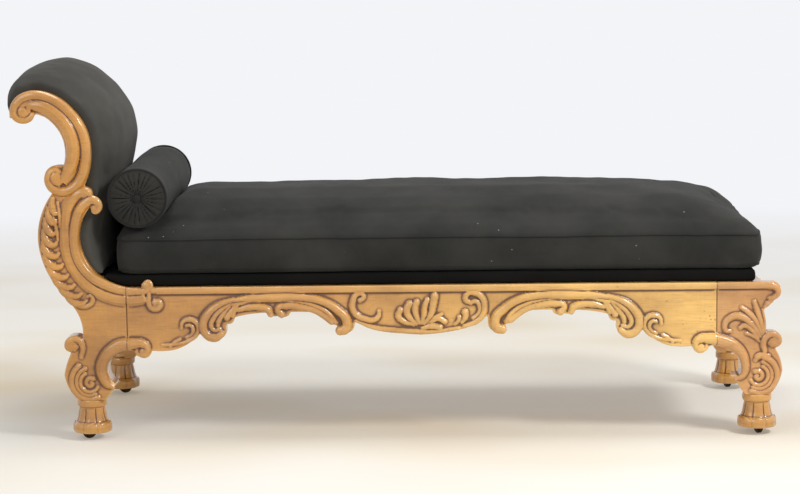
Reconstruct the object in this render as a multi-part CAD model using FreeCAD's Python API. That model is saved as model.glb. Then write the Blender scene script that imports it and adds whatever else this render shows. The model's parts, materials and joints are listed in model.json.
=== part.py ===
import FreeCAD, Part
import math
import os

os.makedirs("parts", exist_ok=True)

# Fainting couch. X runs from the head end to the foot end, Y from front to back, Z up.
# The origin is on the floor under the middle of the couch. Every measure is in millimetres.

# Overall layout along the couch
rail_length = 1440        # side rail, from the head standard's joint to the foot standard's
head_reach = 279          # from the head joint to the end of the headrest
foot_reach = 161          # from the foot joint to the belly of the foot leg
foot_center_y = 285       # feet, either side of the middle
face_y = 316              # outer face of the side boards
relief = 7                # how far the carved rolls stand out of the boards
knob_sides = 8

# Heights
wheel_radius = 17
plinth_bottom = 18
foot_top = 100            # top of the turned foot, where the leg starts
rail_top_height = 279     # top of the side rail above the turned foot

# Boards
leg_thickness = 60
rail_thickness = 32
facing_thickness = 20     # standard and scroll beside the upholstery
bead_height = 16
bead_depth = 5
glue_gap = 0.1            # clearance in a glued joint
beyond = 2000             # cuts reach this far, past every piece
tenon_length = 70
tenon_height = 60
tenon_thickness = 10
tenon_drop = 75           # middle of the tenon below the rail's top

# Turned foot
plinth_radius = 47.5
plinth_height = 22
ring_radius = 35.5
ring_height = 18
bell_bottom_radius = 40
bell_top_radius = 31
petals = 8                # carved round the plinth and the bell
petal_groove = 0.06       # how deep the grooves between petals are, as a share of the radius
recess_half = 28.5        # square well in the plinth, where the caster swivels
recess_depth = 24
spigot_radius = 12
spigot_length = 30

# Caster
wheel_width = 14
wheel_flats = 20
axle_radius = 2.5
running_gap = 0.05        # radial clearance of pintle and axle
pintle_radius = 4
pintle_length = 38
socket_wall = 2.5
plate_thickness = 3
plate_half = 22
fork_wall = 2.5
fork_side_gap = 0.6
crown_reach = 9
crown_thickness = 3
crown_gap = 0.3
trail = 9                 # wheel axle behind the pintle
swivel_rest = {"head_front": 20, "head_back": 200, "foot_front": 110, "foot_back": -70}

# Upholstery
soft_gap = 0.3            # a soft solid's clearance from what it lies on
pad_side_gap = 0.5
pad_side = 20             # stuffing over the scroll's edge at the sides of the headrest
pad_middle = 60           # the same in the middle
pad_steps = 2             # flats along each stretch of the stuffed front
hessian_thickness = 2
back_cloth_thickness = 2.5
webbing_width = 50
webbing_thickness = 1.5
deck_thickness = 30
deck_edge = 8             # rail top left bare outside the deck
deck_foot_gap = 16        # cross rail top left bare at the foot end
cushion_head_reach = 27    # past the head joint
cushion_foot_reach = 109   # past the foot joint, as far as the foot standard's block
cushion_half_width = 310
cushion_boxing = 86       # between the two piped seams
cushion_crown = 90        # middle of the cushion above the upper seam
cushion_corner = 38
cushion_drawn_in = 7      # sides pulled in between the corners
cushion_bulge = 7
corner_steps = 3          # flats round a cushion corner, along its ends and along its sides
end_steps = 3
side_steps = 6
piping = 6
bolster_radius = 74
bolster_gathers = 14      # folds drawn in at each end
gather_depth = 2.5
bolster_seat = 0.268      # share of the crown's height where the bolster has pressed the cushion flat
bolster_length = 620
bolster_dome = 9
button_radius = 10
button_height = 5

# Inner frame
cross_rail_thickness = 32
cross_rail_height = 117
bearer_width = 45
bearer_height = 34
block_size = 34
block_height = 70
slat_height = 60
slat_thickness = 22

# Worked out from the sizes above
overall_length = head_reach + rail_length + foot_reach
head_x = head_reach - overall_length / 2       # joint of head standard and rail
foot_x = head_x + rail_length                  # joint of rail and foot standard
middle_x = (head_x + foot_x) / 2
head_foot_x = head_x - 95                      # turned feet
foot_foot_x = foot_x + 103
rail_top = foot_top + rail_top_height
facing_back = face_y - facing_thickness
leg_back = face_y - leg_thickness
rail_back = face_y - rail_thickness
pad_half = facing_back - pad_side_gap
deck_top = rail_top + deck_thickness
seam_low = deck_top + soft_gap + piping / 2
seam_high = seam_low + cushion_boxing
ends = {"front": -1, "back": 1}


def point(x, z, y=0):
    return FreeCAD.Vector(x, y, z)


def bent(start, end, bow):
    """The edge between two points: straight, or an arc that stands out by bow to the left."""
    if not bow:
        return Part.LineSegment(start, end).toShape()
    run = end - start
    side = FreeCAD.Vector(-run.z, 0, run.x)
    side.normalize()
    return Part.Arc(start, (start + end) * 0.5 + side * bow, end).toShape()


def outline(corners):
    """Closed wire from (x, z, bow) corners; the bow bends the edge that leaves the corner."""
    places = [point(x, z) for x, z, bow in corners]
    edges = []
    for i, (x, z, bow) in enumerate(corners):
        edges.append(bent(places[i], places[(i + 1) % len(places)], bow))
    return Part.Wire(edges)


def curl(start, heading, arcs):
    """Open wire of tangent arcs: each is a radius and the angle it turns, left if positive."""
    x, z = start
    angle = math.radians(heading)
    edges = []
    for radius, turn in arcs:
        sweep = math.radians(turn)
        side = radius if turn > 0 else -radius
        centre = (x - side * math.sin(angle), z + side * math.cos(angle))
        spots = []
        for share in (0, 0.5, 1):
            a = angle + sweep * share
            spots.append(point(centre[0] + side * math.sin(a), centre[1] - side * math.cos(a)))
        edges.append(Part.Arc(*spots).toShape())
        x, z = spots[2].x, spots[2].z
        angle += sweep
    return Part.Wire(edges)


def board(wire, near, far):
    """A flat board cut to an outline, between two distances from the middle, at the front."""
    face = Part.Face(wire)
    solid = face.extrude(FreeCAD.Vector(0, far - near, 0))
    solid.translate(FreeCAD.Vector(0, -far, 0))
    return solid


def flat_faces(corners):
    """One flat face over four corners, or two where the corners aren't in one plane."""
    a, b, c, d = corners
    across = (b - a).cross(c - a).normalize()
    if abs((d - a).dot(across)) < 0.0001:
        return [Part.Face(Part.makePolygon([a, b, c, d, a]))]
    return [Part.Face(Part.makePolygon([a, b, c, a])), Part.Face(Part.makePolygon([a, c, d, a]))]


def skin(rings):
    """Closed solid through flat rings, each a list of as many corners."""
    faces = [Part.Face(Part.makePolygon(ring + ring[:1])) for ring in (rings[0], rings[-1])]
    for ring, following in zip(rings, rings[1:]):
        for i in range(len(ring)):
            faces += flat_faces([ring[i - 1], ring[i], following[i], following[i - 1]])
    shell = Part.makeShell(faces)
    shell.sewShape()
    solid = Part.Solid(shell)
    if solid.Volume < 0:
        solid.reverse()
    return solid


def regular(radius, z, sides, groove=0.0):
    """Corners of a level regular outline; a groove draws every second corner in by that share."""
    corners = []
    for i in range(sides):
        a = 2 * math.pi * (i + 0.5) / sides
        r = radius * (1 - groove * (i % 2))
        corners.append(FreeCAD.Vector(r * math.cos(a), r * math.sin(a), z))
    return corners


def roll(path, width, height):
    """Raised moulding with sloping sides along a path of arcs, on the front face of the boards."""
    out = FreeCAD.Vector(0, -1, 0)
    sunk = 3
    half, crest = width / 2, width / 5
    foot = half + (half - crest) * sunk / height
    solid = None
    for edge in path.Edges:
        start = edge.valueAt(edge.FirstParameter)
        centre = edge.Curve.Center
        radial = (start - centre).normalize()
        axis = radial.cross(edge.tangentAt(edge.FirstParameter))
        rows = ((-foot, -sunk), (-crest, height), (crest, height), (foot, -sunk))
        corners = [start + out * face_y + radial * a + out * b for a, b in rows]
        section = Part.Face(Part.makePolygon(corners + corners[:1]))
        turn = math.degrees(edge.Length / edge.Curve.Radius)
        piece = section.revolve(centre, axis, turn)
        solid = piece if solid is None else solid.fuse(piece)
    return solid


def knob(x, z, radius, height, back=face_y - 3):
    """Scroll eye: a rounded boss that stands out of the board, from a given depth in it."""
    rows = ((radius, back), (radius, face_y + height * 0.4), (radius * 0.45, face_y + height))
    boss = skin([regular(r, out, knob_sides) for r, out in rows])
    boss.rotate(FreeCAD.Vector(0, 0, 0), FreeCAD.Vector(1, 0, 0), 90)
    boss.translate(point(x, z))
    return boss


def prism(radius, bottom, top, sides, x, y):
    solid = skin([regular(radius, z, sides) for z in (bottom, top)])
    solid.translate(FreeCAD.Vector(x, y, 0))
    return solid


def block(x0, x1, y0, y1, z0, z1):
    return Part.makeBox(x1 - x0, y1 - y0, z1 - z0, FreeCAD.Vector(x0, y0, z0))


def upright(radius, bottom, top, x, y):
    return Part.makeCylinder(radius, top - bottom, FreeCAD.Vector(x, y, bottom))


def both_sides(solid):
    """The front piece and its mirror image at the back."""
    return Part.makeCompound([solid, solid.mirror(FreeCAD.Vector(0, 0, 0), FreeCAD.Vector(0, 1, 0))])


def save(name, shape):
    if not shape.isValid():
        print("NOT VALID", name)
    shape.exportStep("parts/" + name + ".step")
    print(name, len(shape.Solids), round(shape.Volume / 1000, 1), "cm3")


# Heights in the outlines are above the turned foot (low) or from the rail's top edge (high),
# and places along the couch are from the joint of the rail with that standard.

def low(z):
    return foot_top + z


def high(z):
    return rail_top + z


def at_head(x):
    return head_x + x


def at_foot(x):
    return foot_x + x


def at_middle(x):
    return middle_x + x


def rail_tenons(grown=0.0):
    """Loose tenons in the two joints of the front side rail; grown makes their mortises."""
    half, thick, high_half = tenon_length / 2 + grown, tenon_thickness / 2 + grown, tenon_height / 2 + grown
    y = -(face_y + rail_back) / 2
    found = []
    for joint in (head_x, foot_x):
        found.append(block(joint - half, joint + half, y - thick, y + thick,
                           high(-tenon_drop) - high_half, high(-tenon_drop) + high_half))
    return Part.makeCompound(found)


# Curves that several pieces share

def grown_curl(start, heading, arcs, grown):
    """A curl moved over to the right of its run by the same distance all along."""
    across = math.radians(heading - 90)
    moved_start = (start[0] + grown * math.cos(across), start[1] + grown * math.sin(across))
    moved = [(radius + grown if turn > 0 else radius - grown, turn) for radius, turn in arcs]
    return curl(moved_start, heading, moved)


def headrest_line(grown=0.0):
    """The line that carries the stuffing of the headrest, from the seat up and over to the tip."""
    arcs = [(139, -55), (1403, -5), (246, 20), (133, 84), (30, 146)]
    return grown_curl((at_head(-80), high(23)), 137, arcs, grown)


def back_line(grown=0.0):
    """The line of the outside back, from under the tip down to the tacking rail."""
    arcs = [(83, -78), (139, -43), (302, 25), (206, 48)]
    return grown_curl((at_head(-213), high(428)), -2, arcs, grown)


def reversed_edges(wire):
    """The wire's edges from its end back to its start, each one turned round."""
    found = []
    for edge in reversed(wire.Edges):
        first, last = edge.FirstParameter, edge.LastParameter
        places = [edge.valueAt(last), edge.valueAt((first + last) / 2), edge.valueAt(first)]
        found.append(Part.Arc(*places).toShape())
    return found


def ends_of(wire):
    first, last = wire.Edges[0], wire.Edges[-1]
    return first.valueAt(first.FirstParameter), last.valueAt(last.LastParameter)


def scroll_seat(gap):
    """Corners of the arc where the head scroll stands on the head standard."""
    return [(at_head(-96), high(249) - gap), (at_head(-174), high(233) - gap)]


def scroll_roll():
    arcs = [(27, -117), (134, -26), (127, -28), (121, -29), (89, -41)]
    return curl((at_head(-252), high(421)), 104, arcs)


def standard_roll():
    arcs = [(53, 73), (272, 20), (149, 33), (154, 32), (141, 34)]
    return curl((at_head(-91), high(235)), -175, arcs)


# Side frames

def head_standard_outline():
    start, end = scroll_seat(glue_gap)
    return outline([
        (at_head(0), high(0), 4), (at_head(-70), high(33), 7), (at_head(-110), high(111), 11),
        (at_head(-79), high(202), 0), (at_head(-68), high(182), -4), (at_head(-55), high(196), -6),
        (at_head(-76), high(222), 0), (at_head(-76), high(227), -7), (start[0], start[1], 15),
        (end[0], end[1], -10), (at_head(-212), high(121), -8), (at_head(-176), high(12), -2),
        (at_head(-137), high(-38), 5), (at_head(-109), low(180), 1), (at_head(-110), low(151), -3),
        (at_head(-134), low(159), -6), (at_head(-155), low(140), -7), (at_head(-138), low(121), -2),
        (at_head(-157), low(65), -7), (at_head(-123), low(0), 0), (at_head(-57), low(0), -2),
        (at_head(-31), low(40), 6), (at_head(-51), low(80), 12), (at_head(0), low(124), 0)])


def beside_joint(shape, x, sign, reach=beyond):
    """The part of a shape on one side of a joint plane."""
    x0 = x if sign > 0 else x - reach
    return shape.common(block(x0, x0 + reach, -reach, reach, -reach, reach))


def leg_shoulder():
    return high(23)


def head_standard():
    wire = head_standard_outline()
    facing = board(wire, facing_back, face_y)
    leg = board(wire, leg_back, facing_back)
    leg = leg.common(block(-beyond, beyond, -beyond, beyond, -beyond, leg_shoulder()))
    solid = facing.fuse(leg)
    solid = solid.fuse(beside_joint(roll(standard_roll(), 34, relief), head_x, -1))
    solid = solid.fuse(knob(at_head(-94), high(232), 17, relief + 1, facing_back + 1))
    solid = solid.fuse(knob(at_head(-69), high(197), 12, relief - 1))
    solid = solid.fuse(knob(at_head(-136), low(139), 17, relief - 1))
    solid = solid.cut(foot_spigot(head_foot_x, -foot_center_y, glue_gap))
    return solid.cut(rail_tenons(glue_gap)).removeSplitter()


def head_scroll():
    start, end = scroll_seat(0)
    wire = outline([
        (at_head(-202), high(425), 8), (at_head(-151), high(388), 4), (at_head(-138), high(331), 1),
        (at_head(-142), high(300), -2), (at_head(-165), high(301), -8), (at_head(-191), high(271), -6),
        (end[0], end[1], -15), (start[0], start[1], -6), (at_head(-77), high(336), -11),
        (at_head(-118), high(436), -9.5), (at_head(-202), high(483), -14),
        (at_head(-265), high(436), -8), (at_head(-239), high(408), -7), (at_head(-216), high(427), 0)])
    solid = board(wire, facing_back, face_y)
    solid = solid.fuse(roll(scroll_roll(), 34, relief))
    solid = solid.fuse(knob(at_head(-239), high(432), 18, relief + 2))
    solid = solid.fuse(knob(at_head(-163), high(271), 22, relief + 2))
    return solid


def foot_standard():
    wire = outline([
        (at_foot(0), low(123), 3), (at_foot(51), low(98), 4), (at_foot(60), low(65), 3),
        (at_foot(53), low(47), 0), (at_foot(38), low(50), 0), (at_foot(50), low(31), -1),
        (at_foot(71), low(0), 0), (at_foot(131), low(0), -5), (at_foot(161), low(60), -4),
        (at_foot(142), low(116), -5), (at_foot(160), low(134), -6), (at_foot(138), low(152), -4),
        (at_foot(117), low(142), 7), (at_foot(117), low(214), -3), (at_foot(134), low(231), 0),
        (at_foot(134), high(-42), -6), (at_foot(155), high(-21), -7), (at_foot(135), high(0), 0),
        (at_foot(0), high(0), 0)])
    solid = board(wire, leg_back, face_y)
    overhang = block(at_foot(113), at_foot(300), -(face_y - 28), -leg_back + 1, low(190), high(50))
    solid = solid.cut(overhang)
    solid = solid.fuse(board(outline([
        (at_foot(0), high(-bead_height), 0), (at_foot(135), high(-bead_height), -4),
        (at_foot(135), high(0), 0), (at_foot(0), high(0), 0)]), face_y - 1, face_y + bead_depth))
    solid = solid.fuse(knob(at_foot(140), low(134), 17, relief - 1))
    solid = solid.cut(foot_spigot(foot_foot_x, -foot_center_y, glue_gap))
    return solid.cut(rail_tenons(glue_gap)).removeSplitter()


def rail_half_edge():
    """Lower edge of the side rail from its middle to an end, with the height above the foot."""
    return [
        (0, 156, -3), (108, 171, -1.5), (162, 203, 0), (163, 185, -21), (205, 181, -5),
        (220, 196, 3), (244, 213, 1), (320, 215, -9), (344, 209, -7), (374, 214, 2.5),
        (457, 203, -8), (477, 188, 0), (476, 168, -13), (518, 156, 1), (537, 174, -9),
        (607, 123, -2), (662, 122, -18), (698, 121, 0)]


def side_rail():
    half = rail_half_edge()
    last = rail_length / 2
    to_end = last - 720                       # the ends of the edge keep to the joints
    corners = []
    places = [(x + (to_end if x > 600 else 0), z, bow) for x, z, bow in half] + [(last, 123, 0)]
    for i in range(len(places) - 1, 0, -1):
        x, z, bow = places[i]
        corners.append((at_middle(-x), low(z), places[i - 1][2]))
    for x, z, bow in places[:-1]:
        corners.append((at_middle(x), low(z), bow))
    corners.append((foot_x, low(123), 0))
    corners.append((foot_x, high(0), 0))
    corners.append((head_x, high(0), 0))
    solid = board(outline(corners), rail_back, face_y)
    bead = board(outline([
        (at_head(75), high(-bead_height), 0), (foot_x, high(-bead_height), 0), (foot_x, high(0), 0),
        (at_head(75), high(0), 0)]), face_y - 1, face_y + bead_depth)
    solid = solid.fuse(bead)
    solid = solid.fuse(beside_joint(roll(standard_roll(), 34, relief), head_x, 1))
    curl_back = face_y - deck_edge + soft_gap
    solid = solid.fuse(knob(at_head(50), high(4), 13, relief, curl_back))
    solid = solid.fuse(knob(at_head(73), high(-41), 13, relief - 2))
    for sign in (-1, 1):
        x = at_middle(sign * (680 + to_end))
        solid = solid.fuse(knob(x, low(119), 15, relief))
    return solid.cut(rail_tenons(glue_gap)).removeSplitter()


# Turned feet and casters

def foot_spigot(x, y, grown=0.0):
    """The eight-sided tenon on top of a foot; grown makes its socket in the leg."""
    bottom = foot_top - (5 if grown else 1)
    return prism(spigot_radius + grown, bottom, foot_top + spigot_length + grown, 8, x, y)


def turned_foot(x, y):
    plinth_top = plinth_bottom + plinth_height
    ring_bottom = foot_top - ring_height
    rows = [(plinth_radius, plinth_bottom, petal_groove), (plinth_radius, plinth_top, petal_groove),
            (bell_bottom_radius, plinth_top + 3, petal_groove), (bell_bottom_radius - 4, plinth_top + 14, petal_groove),
            (bell_top_radius, ring_bottom, petal_groove), (ring_radius, ring_bottom + 3, 0),
            (ring_radius, foot_top, 0)]
    solid = skin([regular(r, z, 2 * petals, groove) for r, z, groove in rows])
    solid.translate(FreeCAD.Vector(x, y, 0))
    solid = solid.fuse(foot_spigot(x, y))
    recess_top = plinth_bottom + recess_depth
    well = block(x - recess_half, x + recess_half, y - recess_half, y + recess_half, 0, recess_top)
    solid = solid.cut(well)
    return solid.cut(prism(sleeve_radius() + glue_gap, recess_top - 1, caster_sleeve_top() + 1, 8, x, y))


def sleeve_radius():
    return pintle_radius + running_gap + socket_wall


def caster_plate_bottom():
    return plinth_bottom + recess_depth - plate_thickness


def caster_sleeve_top():
    return caster_plate_bottom() + pintle_length + 4


def caster_socket(x, y):
    top = plinth_bottom + recess_depth
    bottom = caster_plate_bottom()
    solid = block(x - plate_half, x + plate_half, y - plate_half, y + plate_half, bottom, top)
    solid = solid.fuse(prism(sleeve_radius(), bottom, caster_sleeve_top(), 8, x, y))
    return solid.cut(upright(pintle_radius + running_gap, 0, caster_sleeve_top() - 2, x, y))


def placed(shape, x, y, angle):
    """Turns a caster piece about its pintle and sets it under its foot."""
    shape = shape.copy()
    shape.rotate(FreeCAD.Vector(0, 0, 0), FreeCAD.Vector(0, 0, 1), angle)
    shape.translate(FreeCAD.Vector(x, y, 0))
    return shape


def caster_fork():
    """Pintle, crown and cheeks, with the axle riveted through the cheeks."""
    crown_top = caster_plate_bottom() - crown_gap
    crown_bottom = crown_top - crown_thickness
    half_inner = wheel_width / 2 + fork_side_gap
    half_outer = half_inner + fork_wall
    solid = upright(pintle_radius, crown_top - 1, caster_plate_bottom() + pintle_length, 0, 0)
    solid = solid.fuse(block(-crown_reach, crown_reach, -half_outer, half_outer, crown_bottom, crown_top))
    eye = axle_radius + 3
    for side in (-1, 1):
        near, far = sorted((side * half_inner, side * half_outer))
        corners = [(-crown_reach, crown_bottom + 1, 0), (-trail - eye, wheel_radius + 2, 0),
                   (-trail - 3, wheel_radius - eye, 0), (-trail + 3, wheel_radius - eye, 0),
                   (-trail + eye, wheel_radius + 2, 0), (crown_reach, crown_bottom + 1, 0)]
        solid = solid.fuse(board(outline(corners), -far, -near))
    start = FreeCAD.Vector(-trail, -half_inner, wheel_radius)
    axle = Part.makeCylinder(axle_radius, 2 * half_inner, start, FreeCAD.Vector(0, 1, 0))
    return solid.fuse(axle)


def caster_wheel():
    half = wheel_width / 2
    reach = wheel_radius / math.cos(math.pi / wheel_flats)
    wheel = skin([regular(reach, y, wheel_flats) for y in (-half, half)])
    wheel.rotate(FreeCAD.Vector(0, 0, 0), FreeCAD.Vector(1, 0, 0), 90)
    wheel.translate(FreeCAD.Vector(-trail, 0, wheel_radius))
    bore_start = FreeCAD.Vector(-trail, -half, wheel_radius)
    return wheel.cut(Part.makeCylinder(axle_radius + running_gap, wheel_width, bore_start, FreeCAD.Vector(0, 1, 0)))


# Headrest

def headrest_core(reach):
    """Everything between the stuffing and the outside back, as a board across the headrest."""
    front = headrest_line(-glue_gap)
    back = back_line(-glue_gap)
    foot, tip = ends_of(front)
    under, hem = ends_of(back)
    corner = point(foot.x, hem.z)
    edges = front.Edges + [bent(tip, under, 0)] + back.Edges
    edges += [bent(hem, corner, 0), bent(corner, foot, 0)]
    return board(Part.Wire(edges), -reach, reach)


def strip(line, inner, outer, reach):
    """A sheet that lies along a line, between two distances from it, across the headrest."""
    near, far = line(inner), line(outer)
    near_start, near_end = ends_of(near)
    far_start, far_end = ends_of(far)
    edges = near.Edges + [bent(near_end, far_end, 0)] + reversed_edges(far)
    edges += [bent(far_start, near_start, 0)]
    return board(Part.Wire(edges), -reach, reach)


def head_arm():
    """Curved rib that carries the upholstery, behind the scroll and the standard's facing."""
    shoulder = leg_shoulder()
    rib = block(-beyond, beyond, -facing_back + glue_gap, -leg_back, shoulder + glue_gap, beyond)
    return headrest_core(face_y).common(rib)


def core_rail(x0, x1, z0, z1):
    """A rail between the two arms, or between the standards, inside the headrest."""
    half = leg_back - glue_gap
    bar = block(at_head(x0), at_head(x1), -half, half, high(z0), high(z1))
    return headrest_core(half).common(bar)


def pad_row(share):
    """Corners of the stuffed front at a place across the headrest: 0 at the sides, 1 in the middle."""
    rows = [
        (-29, 20, -51, 20, 1, 11), (-54, 121, -91, 121, 7, 6), (-47, 226, -66, 226, -2, 5),
        (pad_middle - 79, 343, pad_side - 77, 337, -15, -12), (-73, 476, -103, 449, -16, -11),
        (-202, 483 + pad_middle, -202, 483 + pad_side, -20, -18), (-279, 453, -277, 449, -6, -6),
        (-264, 407, -262, 406, 0, 0)]
    found = []
    for x1, z1, x0, z0, bow1, bow0 in rows:
        found.append((at_head(x0 + (x1 - x0) * share), high(z0 + (z1 - z0) * share),
                      bow0 + (bow1 - bow0) * share))
    return found


def bowed(start, end, bow, steps):
    """Places from a start up to, and without, an end, on a line that stands out to the left."""
    run = end - start
    side = FreeCAD.Vector(-run.z, 0, run.x).normalize()
    return [start + run * (i / steps) + side * bow * 4 * (i / steps) * (1 - i / steps) for i in range(steps)]


def behind_pad():
    """What the stuffing lies on, as a board across the headrest and a little more."""
    under = headrest_line(hessian_thickness + soft_gap)
    foot, tip = ends_of(under)
    corners = [tip, point(at_head(-264), high(400)), point(at_head(-230), high(-20)), point(foot.x, high(-20)), foot]
    edges = under.Edges + [bent(a, b, 0) for a, b in zip(corners, corners[1:])]
    return board(Part.Wire(edges), -face_y, face_y)


def head_pad():
    tip = ends_of(headrest_line(hessian_thickness + soft_gap))[1]
    inner = [tip, point(at_head(-250), high(400)), point(at_head(-200), high(200)), point(at_head(-160), high(20))]
    rings = []
    for place in (-1, -0.85, -0.5, 0, 0.5, 0.85, 1):
        ring = []
        rows = pad_row(1 - abs(place) ** 3)
        for (x0, z0, bow), (x1, z1, _) in zip(rows, rows[1:]):
            ring += bowed(point(x0, z0), point(x1, z1), bow, pad_steps)
        ring += [point(rows[-1][0], rows[-1][1])] + inner
        rings.append([FreeCAD.Vector(corner.x, place * pad_half, corner.z) for corner in ring])
    pad = skin(rings).cut(behind_pad())
    return pad.cut(block(-beyond, beyond, -beyond, beyond, 0, deck_top + soft_gap))


def head_back_cloth():
    cloth = strip(back_line, 0, back_cloth_thickness, pad_half)
    narrow = block(-beyond, beyond, -leg_back + soft_gap, leg_back - soft_gap, 0, leg_shoulder() + soft_gap)
    upper = block(-beyond, beyond, -beyond, beyond, leg_shoulder() + soft_gap, beyond)
    return cloth.common(narrow.fuse(upper))


# Seat

def cross_rail(x):
    return block(x, x + cross_rail_thickness, -leg_back, leg_back, rail_top - cross_rail_height, rail_top)


def head_rail_x():
    return at_head(-109)


def foot_rail_x():
    return at_foot(cushion_foot_reach) - cross_rail_thickness


def seat_bearer(x):
    top = rail_top - 25
    return block(x - bearer_width / 2, x + bearer_width / 2, -rail_back, rail_back,
                 top - bearer_height, top)


def corner_blocks():
    solids = []
    bottom = rail_top - 20 - block_height
    inner_x = ((head_rail_x() + cross_rail_thickness, 1), (foot_rail_x(), -1))
    for x, along in inner_x:
        for side in (-1, 1):
            y = side * leg_back
            corners = [FreeCAD.Vector(x, y, bottom), FreeCAD.Vector(x + along * block_size, y, bottom),
                       FreeCAD.Vector(x, y - side * block_size, bottom)]
            face = Part.Face(Part.makePolygon(corners + corners[:1]))
            solids.append(face.extrude(FreeCAD.Vector(0, 0, block_height)))
    return Part.makeCompound(solids)


def spread(start, end, count):
    """Evenly spaced places between two ends."""
    return [start + (end - start) * i / (count - 1) for i in range(count)]


def seat_webbing():
    """Straps along the couch under straps across it, whose ends are folded under on the rails."""
    half = webbing_width / 2
    first = rail_top + webbing_thickness
    second = first + webbing_thickness
    reach = rail_back + 12
    straps = []
    for y in spread(-leg_back + 46, leg_back - 46, 5):
        straps.append(block(head_rail_x() + 8, deck_foot_end() - 8, y - half, y + half, rail_top, first))
    for x in spread(head_x + 40, foot_x - 30, 13):
        fold = rail_back + 1
        section = [(-reach, rail_top), (-fold, rail_top), (-fold, first), (fold, first), (fold, rail_top),
                   (reach, rail_top), (reach, second), (-reach, second)]
        corners = [FreeCAD.Vector(x - half, y, z) for y, z in section]
        strap = Part.Face(Part.makePolygon(corners + corners[:1]))
        straps.append(strap.extrude(FreeCAD.Vector(webbing_width, 0, 0)))
    return Part.makeCompound(straps)


def deck_foot_end():
    return at_foot(cushion_foot_reach) - deck_foot_gap + 2


def beside_standards(shape):
    """A seat layer notched round the two head standards."""
    standard = board(head_standard_outline(), leg_back - soft_gap, face_y)
    standard.translate(FreeCAD.Vector(soft_gap, 0, soft_gap))
    mirrored = standard.mirror(FreeCAD.Vector(0, 0, 0), FreeCAD.Vector(0, 1, 0))
    return shape.cut(standard.fuse(mirrored))


def seat_hessian():
    bottom = rail_top + 2 * webbing_thickness
    half = rail_back + 14
    return beside_standards(block(at_head(-58), deck_foot_end() - 8, -half, half, bottom, bottom + 1))


def deck_pad():
    half = face_y - deck_edge
    start, end = at_head(-72), deck_foot_end()
    pad = block(start, end, -half, half, rail_top + soft_gap, deck_top)
    hollow_top = rail_top + 2 * webbing_thickness + 1 + soft_gap
    inner = rail_back + 14 + soft_gap
    pad = pad.cut(block(start - 1, end - 8 + soft_gap, -inner, inner, rail_top - 1, hollow_top))
    return beside_standards(pad)


def pillow_ring(z, x0, x1, half, corner, drawn):
    """Corners of the cushion's outline at one height: sides drawn in between round corners."""
    rounds = [(x1 - corner, -half + corner, -90, end_steps), (x1 - corner, half - corner, 0, side_steps),
              (x0 + corner, half - corner, 90, end_steps), (x0 + corner, -half + corner, 180, side_steps)]
    turns = []
    for x, y, start, _ in rounds:
        angles = [math.radians(start + 90 * step / corner_steps) for step in range(corner_steps + 1)]
        turns.append([FreeCAD.Vector(x + corner * math.cos(a), y + corner * math.sin(a), z) for a in angles])
    ring = []
    for i, (_, _, start, steps) in enumerate(rounds):
        ring += turns[i]
        a, b = turns[i][-1], turns[(i + 1) % 4][0]
        inward = FreeCAD.Vector(-math.cos(math.radians(start + 90)), -math.sin(math.radians(start + 90)), 0)
        for step in range(1, steps):
            share = step / steps
            ring.append(a + (b - a) * share + inward * drawn * 4 * share * (1 - share))
    return ring


def cushion_ring(z, head_inset, foot_inset, side_inset, drawn=None):
    x1 = at_foot(cushion_foot_reach) - foot_inset
    x0 = at_head(-cushion_head_reach) + head_inset
    half = cushion_half_width - side_inset
    corner = min(cushion_corner + max(side_inset, 0) * 0.3, half * 0.7)
    return pillow_ring(z, x0, x1, half, corner, cushion_drawn_in if drawn is None else drawn)


def seat_cushion():
    bulge = cushion_bulge
    rings = [cushion_ring(deck_top + soft_gap, 10, 10, 10),
             cushion_ring(seam_low, 0, 0, 0),
             cushion_ring((seam_low + seam_high) / 2, -bulge + 6, -bulge, -bulge),
             cushion_ring(seam_high, 0, 0, 0)]
    crown = [(bolster_seat - 0.004, 16, 24, 28), (bolster_seat, 96, 31, 35), (0.5, 116, 76, 74), (0.78, 136, 150, 130),
             (1, 175, 290, 220)]
    for share, head_inset, foot_inset, side_inset in crown:
        rings.append(cushion_ring(seam_high + cushion_crown * share, head_inset, foot_inset, side_inset))
    return skin(rings)


def cushion_piping():
    cords = []
    for seam in (seam_low, seam_high):
        bottom = seam - piping / 2
        outer, inner = [cushion_ring(bottom, -away, -away, -away) for away in (piping, 0.6)]
        outer = Part.Face(Part.makePolygon(outer + outer[:1]))
        inner = Part.Face(Part.makePolygon(inner + inner[:1]))
        cords.append(outer.cut(inner).extrude(FreeCAD.Vector(0, 0, piping)))
    return Part.makeCompound(cords)


def along_bolster(solid):
    """Lays an upright solid on the bolster's axis."""
    solid.rotate(FreeCAD.Vector(0, 0, 0), FreeCAD.Vector(1, 0, 0), -90)
    z = seam_high + cushion_crown * bolster_seat + soft_gap + bolster_radius
    solid.translate(FreeCAD.Vector(at_head(31), 0, z))
    return solid


def bolster():
    half = bolster_length / 2
    rim = bolster_radius - 3
    ending = [(button_radius + 1, half - bolster_dome, 0), (bolster_radius * 0.35, half - 3, gather_depth),
              (bolster_radius * 0.7, half, gather_depth), (rim, half - 4, 0),
              (rim, half - bolster_dome - 8, 0), (bolster_radius, half * 0.72, 0)]
    rings = []
    for side in (-1, 1):
        for r, y, sunk in (ending if side < 0 else reversed(ending)):
            ring = regular(r, side * y, 2 * bolster_gathers)
            for corner in ring[1::2]:
                corner.z -= side * sunk
            rings.append(ring)
    return along_bolster(skin(rings))


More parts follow.
